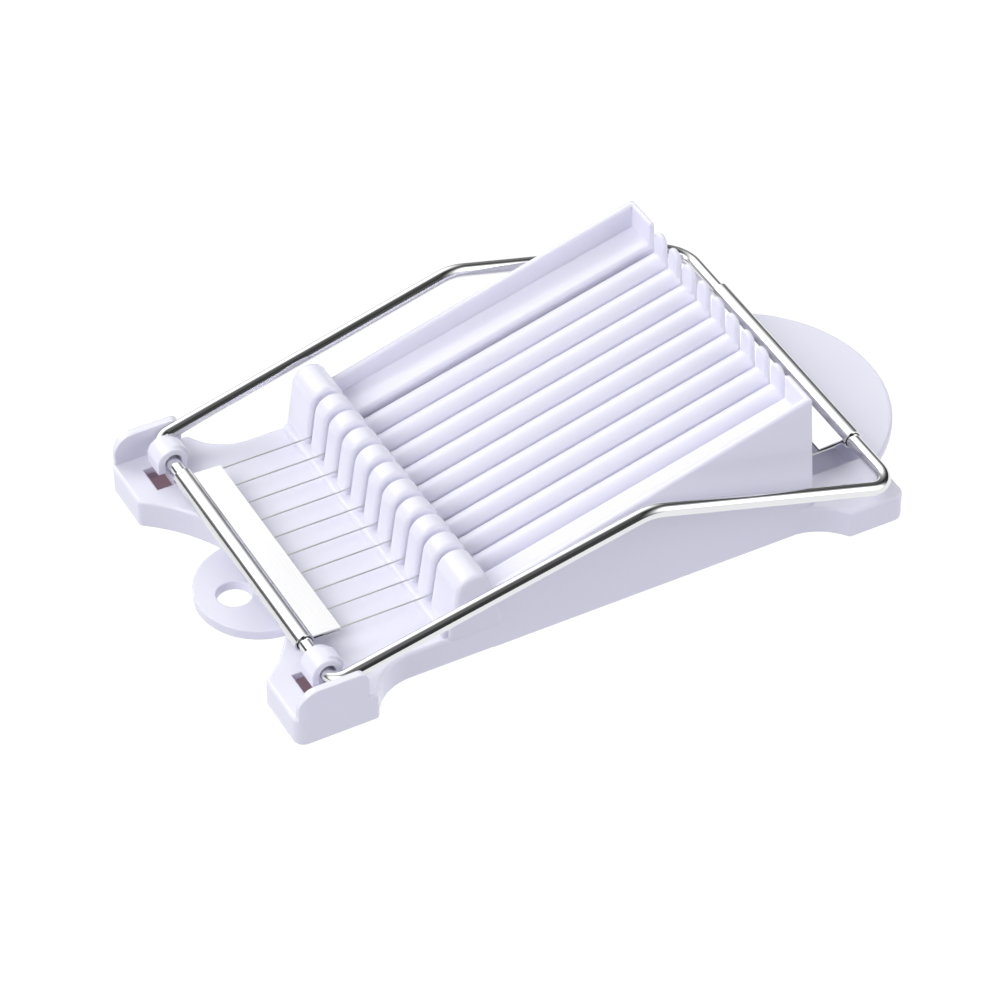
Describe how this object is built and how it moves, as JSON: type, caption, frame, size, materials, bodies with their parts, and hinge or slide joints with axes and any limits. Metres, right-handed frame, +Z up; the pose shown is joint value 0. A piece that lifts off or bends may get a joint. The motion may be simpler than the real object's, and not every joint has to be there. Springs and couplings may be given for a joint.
{
  "type": "egg slicer",
  "caption": "White moulded egg and luncheon meat slicer: sloping ribbed bed between a slotted comb and a row of rear teeth, with a hinged steel bail that carries cutting wires.",
  "frame": {"origin": "centre of the bounding box at the table, under the middle of the slicer", "axes": "+X from the hinge end to the thumb tab end, +Y across, +Z up from the table"},
  "size_m": [0.2106, 0.1206, 0.0496],
  "materials": {
    "white_plastic": "smooth moulded, semi-gloss",
    "bail_steel": "polished rod",
    "plate_steel": "satin rolled sheet",
    "wire_steel": "drawn wire"
  },
  "bodies": {
    "base": {"base": "white_plastic"},
    "bail": {"bail_rod": "bail_steel", "front_clamp_plate": "plate_steel", "rear_clamp_plate": "plate_steel", "wire_01": "wire_steel", "wire_02": "wire_steel", "wire_03": "wire_steel", "wire_04": "wire_steel", "wire_05": "wire_steel", "wire_06": "wire_steel", "wire_07": "wire_steel", "wire_08": "wire_steel", "wire_09": "wire_steel", "wire_10": "wire_steel"}
  },
  "joints": [
    {"name": "bail_hinge", "type": "hinge", "parent": "base", "child": "bail", "pos_m": [-0.0917, 0, 0.0148], "axis": [0, -1, 0], "range_deg": [0, 170]}
  ]
}
